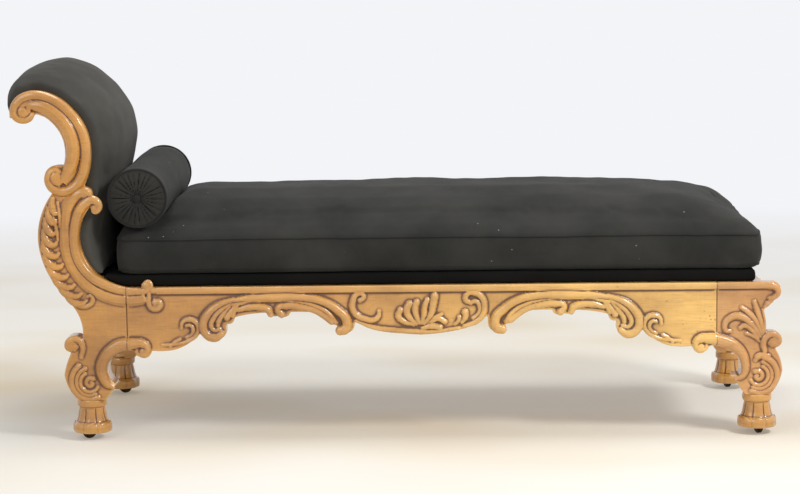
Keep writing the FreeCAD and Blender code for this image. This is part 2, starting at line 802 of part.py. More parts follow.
def bolster_piping():
    cords = []
    for side in (-1, 1):
        y = side * (bolster_length / 2 - 4 - piping / 2) - piping / 2
        outer, inner = [regular(r, y, 2 * bolster_gathers) for r in (bolster_radius, bolster_radius - 2.9)]
        ring = Part.Face(Part.makePolygon(outer + outer[:1])).cut(Part.Face(Part.makePolygon(inner + inner[:1])))
        cords.append(ring.extrude(FreeCAD.Vector(0, 0, piping)))
    return along_bolster(Part.makeCompound(cords))


def bolster_buttons():
    solids = []
    for side in (-1, 1):
        y = side * (bolster_length / 2 - bolster_dome)
        rows = ((button_radius, y), (button_radius, y + side * 2), (button_radius * 0.6, y + side * button_height))
        solids.append(skin([regular(r, place, knob_sides) for r, place in rows]))
    return along_bolster(Part.makeCompound(solids))


# Each piece in its own file

standard = head_standard()
rail = side_rail()
save("head_standards", both_sides(standard))
save("head_scrolls", both_sides(head_scroll().cut(standard)))
save("foot_standards", both_sides(foot_standard()))
save("side_rail_front", rail)
save("side_rail_back", both_sides(rail).Solids[1])
save("head_arms", both_sides(head_arm()))
tenons = both_sides(rail_tenons())
save("rail_tenons", Part.makeCompound(tenons.Solids))

feet = []
sockets = []
for corner, angle in swivel_rest.items():
    end_name, side_name = corner.split("_")
    x = head_foot_x if end_name == "head" else foot_foot_x
    y = ends[side_name] * foot_center_y
    feet.append(turned_foot(x, y))
    sockets.append(caster_socket(x, y))
    save("caster_fork_" + corner, placed(caster_fork(), x, y, angle))
    save("caster_wheel_" + corner, placed(caster_wheel(), x, y, angle))
save("turned_feet", Part.makeCompound(feet))
save("caster_sockets", Part.makeCompound(sockets))

save("head_cross_rail", cross_rail(head_rail_x()))
save("foot_cross_rail", cross_rail(foot_rail_x()))
save("seat_bearer_head", seat_bearer(at_middle(-240)))
save("seat_bearer_foot", seat_bearer(at_middle(240)))
save("corner_blocks", corner_blocks())
save("head_crest_rail", core_rail(-243, -199, 428, 462))
save("head_middle_slat", core_rail(-126, -102, 311, 311 + slat_height))
save("head_lower_slat", core_rail(-150, -128, 91, 91 + slat_height))
save("head_seat_rail", core_rail(-139, -107, 24, 64))
save("head_tacking_rail", core_rail(-190, -150, -25, 20))
save("head_hessian", strip(headrest_line, 0, hessian_thickness, pad_half))
save("head_pad", head_pad())
save("head_back_cloth", head_back_cloth())
save("seat_webbing", seat_webbing())
save("seat_hessian", seat_hessian())
save("deck_pad", deck_pad())
save("seat_cushion", seat_cushion())
save("cushion_piping", cushion_piping())
save("bolster", bolster())
save("bolster_piping", bolster_piping())
save("bolster_buttons", bolster_buttons())
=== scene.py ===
import json
import math
import bmesh
import bpy
import numpy
from mathutils import Matrix, Vector, noise
from mathutils.bvhtree import BVHTree


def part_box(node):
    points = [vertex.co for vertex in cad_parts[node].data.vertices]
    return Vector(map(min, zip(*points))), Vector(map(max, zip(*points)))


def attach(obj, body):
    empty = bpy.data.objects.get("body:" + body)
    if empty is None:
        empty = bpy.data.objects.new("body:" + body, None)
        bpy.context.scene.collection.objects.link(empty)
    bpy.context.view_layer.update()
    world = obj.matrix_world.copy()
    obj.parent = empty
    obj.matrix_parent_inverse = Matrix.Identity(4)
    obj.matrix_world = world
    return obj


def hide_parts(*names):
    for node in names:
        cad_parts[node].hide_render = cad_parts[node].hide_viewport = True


# Fainting couch: carved maple sides, a scrolled headrest, a loose seat cushion and a bolster.
# Carving is listed as strokes of the gouge: (along the couch, up, half width), in millimetres in the frame.

mm = 0.001
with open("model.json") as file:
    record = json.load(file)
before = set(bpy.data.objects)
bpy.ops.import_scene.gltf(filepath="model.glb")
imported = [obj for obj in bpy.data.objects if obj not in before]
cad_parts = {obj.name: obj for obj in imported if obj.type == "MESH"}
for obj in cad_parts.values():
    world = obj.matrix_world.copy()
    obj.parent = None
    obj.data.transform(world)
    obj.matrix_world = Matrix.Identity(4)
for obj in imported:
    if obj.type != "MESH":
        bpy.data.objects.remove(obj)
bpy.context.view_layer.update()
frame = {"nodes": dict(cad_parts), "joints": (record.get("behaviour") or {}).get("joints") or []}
nodes = frame["nodes"]
scene = bpy.context.scene
legThickness = 0.060
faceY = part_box("foot_cross_rail")[0].y - legThickness     # the front faces of the carved sides
middle = 58                                               # the rails' carving is mirrored about this place
headJoint, footJoint = (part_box("side_rail_front")[k].x / mm for k in (0, 1))
print("frame loaded:", len(nodes), "nodes")


# Shader maths

class Wire:
    def __init__(self, socket):
        self.socket = socket

    def maths(self, operation, other=0.0, swapped=False):
        tree = self.socket.id_data
        node = tree.nodes.new("ShaderNodeMath")
        node.operation = operation
        first, second = (other, self) if swapped else (self, other)
        feed(tree, node.inputs[0], first)
        feed(tree, node.inputs[1], second)
        return Wire(node.outputs[0])

    def __add__(self, other):
        return self.maths("ADD", other)

    __radd__ = __add__

    def __sub__(self, other):
        return self.maths("SUBTRACT", other)

    def __rsub__(self, other):
        return self.maths("SUBTRACT", other, True)

    def __mul__(self, other):
        return self.maths("MULTIPLY", other)

    __rmul__ = __mul__

    def waves(self, count):
        return (self * count).maths("SINE")


def feed(tree, socket, value):
    if isinstance(value, Wire):
        tree.links.new(value.socket, socket)
    else:
        socket.default_value = value


def colour(red, green, blue):
    return tuple(((c / 255 + 0.055) / 1.055) ** 2.4 for c in (red, green, blue)) + (1,)


class Finish:
    def __init__(self, name):
        self.material = bpy.data.materials.new(name)
        self.material.use_nodes = True
        self.tree = self.material.node_tree
        self.tree.nodes.clear()

    def add(self, kind, settings=None, sockets=None, outlet=0):
        node = self.tree.nodes.new("ShaderNode" + kind)
        for key, value in (settings or {}).items():
            if key == "stops":
                ramp = node.color_ramp
                while len(ramp.elements) < len(value):
                    ramp.elements.new(0.5)
                for element, (place, tone) in zip(ramp.elements, value):
                    element.position = place
                    element.color = tone if isinstance(tone, tuple) else (tone, tone, tone, 1)
            else:
                setattr(node, key, value)
        for key, value in (sockets or {}).items():
            feed(self.tree, node.inputs[key], value)
        return Wire(node.outputs[outlet]) if len(node.outputs) else None

    def place(self, scale=(1, 1, 1)):
        return self.add("Mapping", {}, {"Vector": self.add("TexCoord", outlet="Object"), "Scale": scale})

    def axes(self):
        spot = self.add("TexCoord", outlet="Object")
        return [self.add("SeparateXYZ", {}, {"Vector": spot}, axis) for axis in "XYZ"]

    def grainy(self, scale, size, detail=3.0, rough=0.55):
        return self.add("TexNoise", {}, {"Vector": self.place(scale), "Scale": size, "Detail": detail,
                                         "Roughness": rough})

    def hollows(self):                                        # how deep a place lies, from hollowed()
        return self.add("Attribute", {"attribute_name": "hollow"}, outlet="Fac")

    def blend(self, share, first, second, way="MIX"):          # 0, 6 and 7 are a colour Mix's factor, A and B
        return self.add("Mix", {"data_type": "RGBA", "blend_type": way}, {0: share, 6: first, 7: second}, 2)

    def range(self, value, low, high, bottom=0.0, top=1.0):
        return self.add("MapRange", {}, {"Value": value, "From Min": low, "From Max": high,
                                         "To Min": bottom, "To Max": top})

    def bump(self, height, strength, distance):
        return self.add("Bump", {}, {"Height": height, "Strength": strength, "Distance": distance})

    def finish(self, sockets):
        self.add("OutputMaterial", {}, {"Surface": self.add("BsdfPrincipled", {}, sockets)})
        return self.material


# Lacquered maple: tones run along the couch, painted shade darkens the carving's recesses, a painted
# highlight with rubbed wear lightens its ridges, and a fine dark line marks each joint

mapleLook = {"shade": colour(112, 62, 20), "jointAndShadeDark": colour(58, 28, 8), "light": colour(252, 214, 150),
             "speck": colour(150, 92, 36), "coat": 0.7, "coatRoughness": 0.12,
             "cloud": 0.42, "streak": 0.24, "curl": 0.22, "hollow": 0.8, "deepHollowShade": 0.85, "ridgeHighlightAndWear": 0.26,
             "jointLine": 0.55}


def maple(name, low, high, tones, specks=0.0, carved=True):
    f = Finish(name)
    look = mapleLook
    along = f.axes()[0]
    tone = f.add("ValToRGB", {"stops": tones}, {0: f.range(along, low, high)})
    cloud = f.grainy((1.2, 1.2, 2.5), 5.0, 4.0)
    streak = f.grainy((2.0, 22.0, 30.0), 9.0, 5.0, 0.6)       # the grain runs along the couch
    curlMark = f.grainy((26.0, 5.0, 5.0), 7.0, 3.0)           # and the maple's curl across it
    tone = f.blend(f.range(cloud, 0.35, 0.7, 0.0, look["cloud"]), tone, look["shade"], "MULTIPLY")
    tone = f.blend(f.range(streak, 0.5, 0.74, 0.0, look["streak"]), tone, look["shade"], "MULTIPLY")
    tone = f.blend(f.range(curlMark, 0.48, 0.68, 0.0, look["curl"]), tone, look["light"], "SOFT_LIGHT")
    if specks:                                                # bird's eyes, more of them at the foot
        eye = f.add("TexVoronoi", {}, {"Vector": f.place((1, 0.4, 1.2)), "Scale": 62.0, "Randomness": 1.0})
        pick = f.grainy((1, 1, 1), 14.0, 2.0)
        mask = f.range(eye, 0.10, 0.22, 1.0, 0.0) * f.range(pick, 0.5, 0.6)
        tone = f.blend(mask * f.range(along, 0.0, 0.5, 0.25, 1.0) * specks, tone, look["speck"])
    rough = f.range(streak, 0.3, 0.7, 0.26, 0.38)
    if carved:
        # painted shade: the carving's recesses are darkened, the deepest ones to a near-black brown
        depth = f.hollows()
        hollow = f.range(depth, 0.06, 0.55)
        # ridges are lightened: a painted highlight, with rubbed wear
        ridgeHighlightAndWear = f.range(depth, -0.25, -1.2, 0.0, look["ridgeHighlightAndWear"])
        tone = f.blend(hollow * look["hollow"], tone, look["shade"], "MULTIPLY")
        tone = f.blend(f.range(depth, 0.32, 1.0) * look["deepHollowShade"], tone, look["jointAndShadeDark"])
        for joint in (headJoint * mm, footJoint * mm):        # a fine dark line where the boards meet
            off = (along - joint).maths("ABSOLUTE")
            ridgeHighlightAndWear = ridgeHighlightAndWear * f.range(off, 0.004, 0.010)
            tone = f.blend(f.range(off, 0.0009, 0.0022, look["jointLine"], 0.0), tone, look["jointAndShadeDark"])
        tone = f.blend(ridgeHighlightAndWear, tone, look["light"])
        rough = rough + hollow * 0.18
    bumps = f.bump(streak * 0.6 + cloud * 0.4, 0.12, 0.0006)
    return f.finish({"Base Color": tone, "Roughness": rough, "Normal": bumps,
                     "Coat Weight": look["coat"], "Coat Roughness": look["coatRoughness"]})


# fold: the colour of the painted shade in the cloth's folds
clothLook = {"weave": 2600.0, "roughness": 0.88, "sheenRoughness": 0.5, "specular": 0.12,
             "lint": colour(168, 165, 158), "fold": colour(12, 12, 11)}


def cloth(name, tint, worn, lint=0.0, sheen=0.05, relief=0.35):
    f = Finish(name)
    x, y, z = f.axes()
    thread = (x + y * 0.71).waves(clothLook["weave"]) * (z + y * 0.71).waves(clothLook["weave"])
    fuzz = f.grainy((1, 1, 1), 420.0, 3.0)
    cloud = f.grainy((1, 1, 1), 6.0, 4.0)
    tone = f.blend(f.range(cloud, 0.35, 0.7), tint, worn)
    tone = f.blend(f.range(thread, -1.0, 1.0, 0.0, 0.18), tone, worn)
    tone = f.blend(f.range(fuzz, 0.45, 0.75, 0.0, 0.25), tone, worn)
    if lint:
        dot = f.add("TexVoronoi", {}, {"Vector": f.place(), "Scale": 34.0, "Randomness": 1.0})
        pick = f.grainy((1, 1, 1), 9.0, 2.0)
        specks = f.range(dot, 0.035, 0.06, 1.0, 0.0) * f.range(pick, 0.56, 0.6)
        tone = f.blend(specks * lint, tone, clothLook["lint"])
    # painted shade: the cloth's folds and creases are darkened
    tone = f.blend(f.range(f.hollows(), 0.15, 1.2, 0.0, 0.85), tone, clothLook["fold"])
    bumps = f.bump(thread * 0.5 + fuzz * 0.6, relief, 0.0004)
    return f.finish({"Base Color": tone, "Roughness": clothLook["roughness"], "Normal": bumps,
                     "Sheen Weight": sheen, "Sheen Roughness": clothLook["sheenRoughness"],
                     "Specular IOR Level": clothLook["specular"]})


def plainWood(name):
    f = Finish(name)
    streak = f.grainy((3.0, 1.0, 24.0), 8.0, 5.0, 0.6)
    tone = f.add("ValToRGB", {"stops": [(0.3, colour(196, 160, 112)), (0.5, colour(180, 140, 92)),
                                        (0.75, colour(146, 106, 66))]}, {0: streak})
    return f.finish({"Base Color": tone, "Roughness": f.range(streak, 0.3, 0.7, 0.62, 0.78),
                     "Normal": f.bump(streak, 0.25, 0.0006)})


def metal(name, bright, dull, metallic, roughness):
    f = Finish(name)
    tarnish = f.grainy((1, 1, 1), 90.0, 4.0)
    return f.finish({"Base Color": f.blend(f.range(tarnish, 0.4, 0.65), bright, dull),
                     "Metallic": metallic,
                     "Roughness": f.range(tarnish, 0.35, 0.7, roughness, roughness + 0.25),
                     "Normal": f.bump(tarnish, 0.2, 0.0003)})


def jute(name, light, dark, weave, striped=False):
    f = Finish(name)
    x, y = f.axes()[:2]
    over = x.waves(weave) * y.waves(weave)
    fibre = f.grainy((1, 1, 1), 300.0, 3.0)
    tone = f.blend(f.range(over, -0.6, 0.6, 0.15, 0.85), dark, light)
    tone = f.blend(f.range(fibre, 0.4, 0.7, 0.0, 0.4), tone, dark)
    if striped:                                               # a brown stripe near each edge of a strap
        tone = f.blend(f.range(y.waves(82.0), 0.82, 0.9) * 0.6, tone, colour(92, 60, 44))
    return f.finish({"Base Color": tone, "Roughness": 0.92,
                     "Normal": f.bump(over * 0.6 + fibre * 0.5, 0.6, 0.0005)})


mapleHead = maple("maple, head end", -0.93, headJoint * mm,
                  [(0.0, colour(214, 152, 66)), (0.45, colour(212, 150, 66)), (0.8, colour(203, 146, 72)),
                   (1.0, colour(205, 148, 76))])
mapleRail = maple("maple, side rails", headJoint * mm, footJoint * mm,
                  [(0.0, colour(203, 146, 74)), (0.3, colour(212, 154, 80)), (0.55, colour(224, 172, 94)),
                   (0.8, colour(236, 188, 106)), (1.0, colour(240, 192, 110))], specks=0.62)
mapleFoot = maple("maple, foot end", footJoint * mm, 0.94,
                  [(0.0, colour(214, 160, 98)), (0.6, colour(210, 154, 90)),
                   (1.0, colour(200, 140, 76))], specks=0.3)
mapleFeet = maple("maple, turned feet", -0.8, 0.93,
                  [(0.0, colour(216, 158, 78)), (1.0, colour(214, 158, 82))])
maplePlain = maple("maple, smooth rails", -0.8, 0.93,
                   [(0.0, colour(200, 144, 76)), (1.0, colour(214, 158, 90))], carved=False)
coverCloth = cloth("charcoal cover cloth", colour(38, 38, 36), colour(56, 55, 52), lint=0.8)
# a lighter copy of the charcoal cloth: painted light, for the lit headrest
litHeadrestCloth = cloth("charcoal headrest cloth, painted lighter as lit", colour(57, 55, 51), colour(78, 76, 70), lint=0.4)
pipingCloth = cloth("charcoal piping", colour(30, 30, 28), colour(46, 45, 42), relief=0.2)
# the deck cloth is painted near black: painted shade for the shadow under the cushion
shadedDeckCloth = cloth("deck cloth, painted dark as shaded", colour(10, 10, 9), colour(18, 17, 15), sheen=0.0)
innerWood = plainWood("frame hardwood")
brass = metal("tarnished brass", colour(122, 100, 58), colour(62, 50, 32), 1.0, 0.42)
rollerBrass = metal("dark roller", colour(70, 54, 38), colour(30, 23, 17), 0.85, 0.4)
webbing = jute("jute webbing", colour(196, 172, 130), colour(134, 108, 72), 1500.0, striped=True)
hessian = jute("hessian", colour(170, 140, 98), colour(96, 72, 44), 2300.0)
print("finishes mixed")


# Making pieces

def freed(shape, name):
    mesh = bpy.data.meshes.new(name)
    shape.to_mesh(mesh)
    shape.free()
    return mesh


def objectOf(mesh, name):
    piece = bpy.data.objects.new(name, mesh)
    scene.collection.objects.link(piece)
    return piece


def settled(piece):
    bpy.context.view_layer.update()
    mesh = bpy.data.meshes.new_from_object(piece.evaluated_get(bpy.context.evaluated_depsgraph_get()))
    piece.modifiers.clear()
    piece.data = mesh
    return piece


def fitted(piece, material, body, slot, *replaced):
    mesh = piece.data
    mesh.polygons.foreach_set("use_smooth", [True] * len(mesh.polygons))
    mesh.materials.clear()
    mesh.materials.append(material)
    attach(piece, body)
    if replaced:
        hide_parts(*replaced)
    return piece


def solidOf(node, front=False):
    shape = bmesh.new()
    shape.from_mesh(nodes[node].data)
    bmesh.ops.remove_doubles(shape, verts=shape.verts, dist=0.00001)
    if front:
        bmesh.ops.delete(shape, geom=[v for v in shape.verts if v.co.y > 0], context="VERTS")
    return shape


def remeshed(piece, voxel, rounds, faces=0, hold=None):
    remesh = piece.modifiers.new("remesh", "REMESH")
    remesh.mode = "VOXEL"
    remesh.voxel_size = voxel
    settled(piece)
    smooth = piece.modifiers.new("smooth", "SMOOTH")
    smooth.factor = 0.5
    smooth.iterations = rounds
    if hold:
        group = piece.vertex_groups.new(name="free")
        for vert in piece.data.vertices:
            group.add([vert.index], hold(vert.co), "REPLACE")
        smooth.vertex_group = "free"
    settled(piece)
    triangles = len(piece.data.polygons) * 2
    if faces and triangles > faces:
        piece.modifiers.new("fewer", "DECIMATE").ratio = faces / triangles
        settled(piece)
    return piece


# the depth is kept as the hollow attribute; the finishes paint shade into hollows and a highlight onto the
# maple's ridges from it
def hollowed(piece, rounds=14):
    mesh = piece.data
    count = len(mesh.vertices)
    place, normal = numpy.empty((count, 3)), numpy.empty((count, 3))
    ends = numpy.empty((len(mesh.edges), 2), int)
    mesh.vertices.foreach_get("co", place.ravel())
    mesh.vertices.foreach_get("normal", normal.ravel())
    mesh.edges.foreach_get("vertices", ends.ravel())
    first, last = ends[:, 0], ends[:, 1]
    degree = numpy.maximum(1, numpy.bincount(ends.ravel(), minlength=count))
    smooth = place.copy()
    for sweep in range(rounds):
        for axis in range(3):
            near = smooth[:, axis]
            total = numpy.bincount(first, near[last], count) + numpy.bincount(last, near[first], count)
            smooth[:, axis] = (near + total / degree) / 2
    depth = ((smooth - place) * normal).sum(1) / mm            # above 0 in a hollow, below 0 on a ridge
    mesh.attributes.new("hollow", "FLOAT", "POINT").data.foreach_set("value", depth)
    return piece


def mirroredAcross(piece, name):
    shape = bmesh.new()
    shape.from_mesh(piece.data)
    bmesh.ops.scale(shape, vec=(1, -1, 1), verts=shape.verts)
    bmesh.ops.reverse_faces(shape, faces=shape.faces)
    return freed(shape, name)


def joined(shape, mesh):
    shape.from_mesh(mesh)
    bpy.data.meshes.remove(mesh)


# Strokes of carving

def tube(points, name="tube", closed=False, roundness=3):
    curve = bpy.data.curves.new(name, "CURVE")
    curve.dimensions = "3D"
    spline = curve.splines.new("BEZIER")
    spline.bezier_points.add(len(points) - 1)
    for knot, (place, radius) in zip(spline.bezier_points, points):
        knot.co = place
        knot.radius = radius
        knot.handle_left_type = knot.handle_right_type = "AUTO"
    spline.use_cyclic_u = closed
    spline.resolution_u = 6
    curve.bevel_depth = mm
    curve.bevel_resolution = roundness
    curve.use_fill_caps = True
    rod = bpy.data.objects.new(name, curve)
    mesh = bpy.data.meshes.new_from_object(rod)
    bpy.data.objects.remove(rod)
    return mesh


highRelief = 0.95


def stroke(shape, points, relief=0.85):                       # relief: a stroke's height over its half width
    part = bmesh.new()
    joined(part, tube([((x * mm, 0, z * mm), r) for x, z, r in points]))
    for x, z, r in (points[0], points[-1]):                   # round ends
        bmesh.ops.create_uvsphere(part, u_segments=12, v_segments=8, radius=r * mm,
                                  matrix=Matrix.Translation((x * mm, 0, z * mm)))
    bmesh.ops.scale(part, vec=(1, relief, 1), verts=part.verts)
    bmesh.ops.translate(part, vec=(0, faceY, 0), verts=part.verts)
    joined(shape, freed(part, "stroke"))


def spiral(x, z, start, end, first, last, wide, narrow, count=9):
    turns = [k / (count - 1) for k in range(count)]
    return [(x + (start + (end - start) * t) * math.cos(math.radians(first + (last - first) * t)),
             z + (start + (end - start) * t) * math.sin(math.radians(first + (last - first) * t)),
             wide + (narrow - wide) * t) for t in turns]


def flipped(points, about=middle):
    return [(2 * about - x, z, r) for x, z, r in points]


headScroll = {
    "band": [(-876, 805, 6), (-884, 795, 8), (-902, 792, 10), (-917, 801, 11), (-920, 817, 11.5),
             (-911, 835, 12), (-893, 847, 12.5), (-866, 851, 12.5), (-838, 844, 12.5), (-811, 829, 12.5),
             (-788, 808, 12.5), (-768, 782, 12.5), (-755, 750, 12.5), (-750, 714, 12.5), (-753, 680, 12.5),
             (-763, 650, 12.5), (-781, 627, 12.5), (-803, 617, 12), (-826, 620, 11), (-841, 636, 10.5),
             (-841, 656, 10), (-828, 668, 9), (-813, 663, 7)],
    "roll": [(-886, 812, 7), (-884, 822, 10), (-868, 827, 15), (-843, 821, 17.5), (-818, 804, 18),
             (-799, 783, 18), (-786, 757, 18), (-780, 728, 18), (-782, 698, 17.5), (-791, 672, 16),
             (-804, 652, 12), (-817, 641, 8), (-829, 644, 6)],
    "topEye": spiral(-902, 811, 10, 2, 60, 330, 6, 7, 6),
    "lowEye": spiral(-826, 650, 9, 1, 40, 300, 7, 9, 6)}

headStandard = {
    "outerRoll": [(-744, 602, 7), (-748, 612, 13), (-765, 613, 14), (-783, 598, 13), (-795, 575, 11.5),
                  (-801, 546, 10), (-804, 517, 8.5), (-803, 491, 8), (-798, 459, 8), (-784, 421, 7.5),
                  (-758, 390, 7), (-725, 367, 6.5), (-692, 355, 6), (headJoint - 2, 350, 5.5)],
    "innerBand": [(-738, 575, 4), (-733, 566, 6), (-724, 571, 8), (-723, 585, 10), (-737, 595, 12),
                  (-754, 588, 13), (-768, 572, 13), (-778, 548, 13), (-784, 515, 13), (-784, 482, 13),
                  (-777, 452, 13), (-763, 426, 13), (-742, 404, 13), (-711, 386, 12.5), (-682, 375, 11.5),
                  (headJoint - 2, 371, 11)],
    "tipCurl": [(-800, 350, 5), (-775, 335, 6), (-755, 336, 6), (-744, 347, 6), (-747, 360, 5),
                (-755, 358, 3)],
    "ear": [(-775, 208, 5), (-771, 232, 7), (-781, 250, 8.5), (-797, 252, 9), (-808, 241, 8), (-805, 228, 6)],
    "legBand": [(-700, 133, 6), (-713, 141, 10), (-723, 158, 12.5), (-727, 181, 14), (-715, 211, 14.5),
                (-698, 228, 15), (-681, 238, 15), (headJoint - 2, 241, 15)],
    "legRim": spiral(-752, 146, 50, 42, 128, 292, 7, 6, 8)}
# each rib of the leaf starts on the outer edge (x, z) and sweeps down and across by its reach
headLeaf = {"ribs": [(-838, 596, 16), (-848, 572, 22), (-856, 546, 28), (-861, 518, 34), (-863, 490, 40),
                     (-860, 463, 46), (-852, 437, 50), (-841, 412, 54), (-827, 390, 56), (-811, 372, 52)],
            "drop": 36, "width": 10, "veinRelief": 1.3,
            "veins": [[(-842, 578, 3), (-832, 548, 5), (-826, 520, 5), (-824, 498, 3)],
                      [(-822, 590, 3), (-818, 560, 5), (-817, 530, 4)]]}

rail = {
    "bead": [(-596, 371, 7.5), (-300, 371, 7.5), (100, 371, 7.5), (500, 371, 7.5), (footJoint, 371, 7.5)],
    "bandEnd": [(headJoint + 2, 370, 11), (-641, 369, 10), (-622, 369, 9.5), (-608, 375, 8.5),
                (-601, 386, 7), (-608, 394, 5), (-615, 388, 4)],
    "rollEnd": [(headJoint + 2, 350, 5.5), (-640, 348, 5), (-622, 352, 4)],
    "hook": [(-602, 378, 6), (-606, 356, 6), (-605, 338, 7), (-594, 327, 8), (-581, 331, 8), (-581, 343, 7),
             (-590, 344, 5)]}
railPairs = {
    "archRoll": [(-396, 346, 6), (-360, 351, 9), (-300, 353, 10), (-230, 351, 10), (-180, 340, 10.5),
                 (-145, 319, 11), (-124, 294, 12), (-128, 272, 14), (-140, 268, 12)],
    "archLip": [(-400, 334, 5), (-340, 345, 6), (-260, 343, 6), (-200, 330, 7), (-165, 308, 7),
                (-151, 288, 6)],
    "innerLeft": [(-388, 322, 6), (-360, 329, 9), (-333, 328, 9), (-315, 321, 9), (-309, 310, 8)],
    "innerRight": [(-282, 309, 9), (-290, 324, 8), (-270, 331, 9), (-235, 328, 9), (-200, 319, 9),
                   (-176, 304, 9), (-160, 291, 9)],
    "headOuter": [(-398, 348, 5), (-436, 334, 9), (-462, 312, 11), (-474, 286, 12), (-466, 262, 12),
                  (-446, 254, 12), (-430, 262, 9)],
    "headSecond": [(-402, 340, 4), (-430, 322, 7), (-449, 302, 8), (-455, 282, 7), (-446, 271, 6),
                   (-434, 274, 5)],
    "headThird": [(-406, 332, 4), (-424, 312, 7), (-436, 295, 7), (-438, 283, 5)],
    "lobeOne": [(-392, 336, 4), (-405, 318, 7), (-416, 303, 8)],
    "lobeTwo": [(-384, 340, 4), (-396, 322, 6), (-402, 308, 6)],
    "bellyCurl": [(-528, 278, 3), (-524, 293, 5), (-508, 299, 7), (-492, 292, 7), (-486, 276, 6),
                  (-494, 258, 6), (-512, 246, 5), (-545, 238, 3.5), (-575, 236, 2.5)],
    "bellyInner": [(-515, 284, 4), (-505, 284, 5), (-499, 274, 5), (-503, 262, 4), (-516, 254, 3)],
    "bellyLeaf": [(-556, 233, 3), (-545, 243, 4), (-532, 250, 4)],
    "endBand": [(headJoint + 2, 240, 15), (-643, 241, 14), (-624, 240, 12), (-613, 229, 9), (-617, 217, 7),
                (-629, 213, 6.5), (-638, 221, 6), (-633, 231, 5)]}
cartouche = {
    "leftScroll": [(-90, 343, 6), (-82, 349, 6), (-84, 358, 6), (-97, 358, 7), (-107, 342, 8),
                   (-108, 322, 8), (-98, 306, 8), (-80, 297, 7.5), (-58, 294, 7), (-46, 303, 6),
                   (-44, 316, 4)],
    "lowerSweep": [(-100, 292, 4), (-60, 276, 6), (-10, 268, 7), (40, 265, 6), (90, 264, 5), (150, 272, 4)],
    "fanOne": [(40, 282, 4.8), (16, 290, 7.2), (4, 303, 8.4), (8, 318, 7.2)],
    "fanTwo": [(46, 284, 4.8), (30, 300, 8.4), (24, 318, 9.6), (30, 333, 8.4)],
    "fanThree": [(54, 286, 5), (46, 306, 7.5), (44, 324, 8.8), (48, 337, 7.5)],
    "fanFour": [(60, 286, 5), (66, 306, 7.5), (68, 326, 7.5), (74, 342, 6.2)],
    "fanFive": [(66, 284, 4.6), (82, 306, 8), (88, 332, 9.2), (92, 352, 9.2)],
    "fanSix": [(74, 282, 4), (92, 298, 6), (108, 306, 4)],
    "leafOne": [(62, 272, 4.8), (84, 277, 8.4), (104, 274, 7.2)],
    "leafTwo": [(84, 288, 4.8), (100, 296, 7.2), (116, 288, 6)],
    "rightHook": [(180, 334, 5), (168, 342, 7), (172, 356, 7), (190, 359, 8), (207, 347, 8), (213, 325, 8),
                  (208, 303, 8), (192, 287, 7), (165, 277, 5)],
    "rightInner": [(182, 336, 5), (194, 337, 6), (202, 324, 6), (199, 308, 5), (186, 296, 4)],
    "rightLobe": [(158, 286, 4), (166, 298, 7), (166, 311, 8)],
    "rightSmall": [(142, 282, 3), (150, 291, 5), (152, 299, 5)]}

footStandard = {
    "bead": [(footJoint + 2, 371, 8), (850, 371, 8), (905, 370, 9), (922, 365, 9), (927, 352, 8),
             (918, 341, 7), (908, 338, 6)],
    "curl": [(912, 332, 5), (903, 326, 7), (896, 318, 4)],
    "band": [(footJoint + 2, 238, 15), (803, 232, 14), (824, 221, 13.5), (841, 201, 12.5), (848, 179, 11),
             (848, 160, 9.5), (840, 145, 7), (826, 139, 4)],
    "sprayOne": [(893, 245, 4), (886, 280, 7), (877, 308, 7), (870, 330, 5)],
    "sprayTwo": [(890, 246, 4), (874, 282, 8), (856, 303, 7), (840, 316, 5)],
    "sprayThree": [(886, 244, 4), (862, 278, 9), (834, 295, 9), (812, 291, 8), (799, 276, 7), (802, 260, 6),
                   (812, 258, 4)],
    "sprayFour": [(880, 240, 4), (866, 260, 7), (848, 272, 7), (836, 266, 5)],
    "sprayFive": [(884, 232, 3), (868, 246, 5), (852, 252, 4)],
    "rib": [(893, 240, 4), (896, 275, 3.5), (891, 310, 3)],
    "ear": [(896, 208, 6), (893, 230, 8), (904, 247, 9), (919, 249, 9), (930, 238, 8), (925, 226, 6)],
    "legRim": spiral(880, 146, 50, 40, 75, -112, 8, 6, 9),
    "legTip": [(906, 196, 5), (892, 199, 7), (880, 194, 8), (874, 186, 5)]}


# the coiled leaf on each leg: radii, angles and half width of its turns
coil = [(38, 30, 110, 292, 5.5), (27, 20, 120, 330, 5), (13, 2, 60, 420, 6)]


def coiled(shape, x, z, towardsFoot):
    for start, end, first, last, wide in coil:
        points = spiral(x, z, start, end, first, last, wide, wide * 0.8)
        stroke(shape, points if towardsFoot else flipped(points, x))


def carved(name, node, strokes, material, voxel, faces, extra=None, pair=True):
    shape = solidOf(node, front=pair)
    for points in strokes:
        stroke(shape, points)
    if extra:
        extra(shape)
    piece = hollowed(remeshed(objectOf(freed(shape, name), name), voxel, 1, faces))
    other = mirroredAcross(piece, name + "_back")
    if pair:
        both = bmesh.new()
        both.from_mesh(piece.data)
        joined(both, other)
        piece.data = freed(both, name)
        return fitted(piece, material, "frame", "maple", node)
    fitted(piece, material, "frame", "maple", node)
    back = objectOf(other, name + "_back")
    return fitted(back, material, "frame", "maple", node.replace("front", "back"))


def leafRibs(shape):
    drop, width = headLeaf["drop"], headLeaf["width"]
    for x, z, reach in headLeaf["ribs"]:
        stroke(shape, [(x + 4, z + 4, width * 0.6), (x + reach * 0.2, z - drop * 0.45, width),
                       (x + reach * 0.55, z - drop * 0.85, width),
                       (x + reach * 0.85, z - drop * 0.85, width * 0.7),
                       (x + reach, z - drop * 0.7, width * 0.35)], highRelief)
    for points in headLeaf["veins"]:
        stroke(shape, points, headLeaf["veinRelief"])
    coiled(shape, -754, 143, True)


def railCarving(shape):
    for points in railPairs.values():
        stroke(shape, points, highRelief)
        stroke(shape, flipped(points), highRelief)


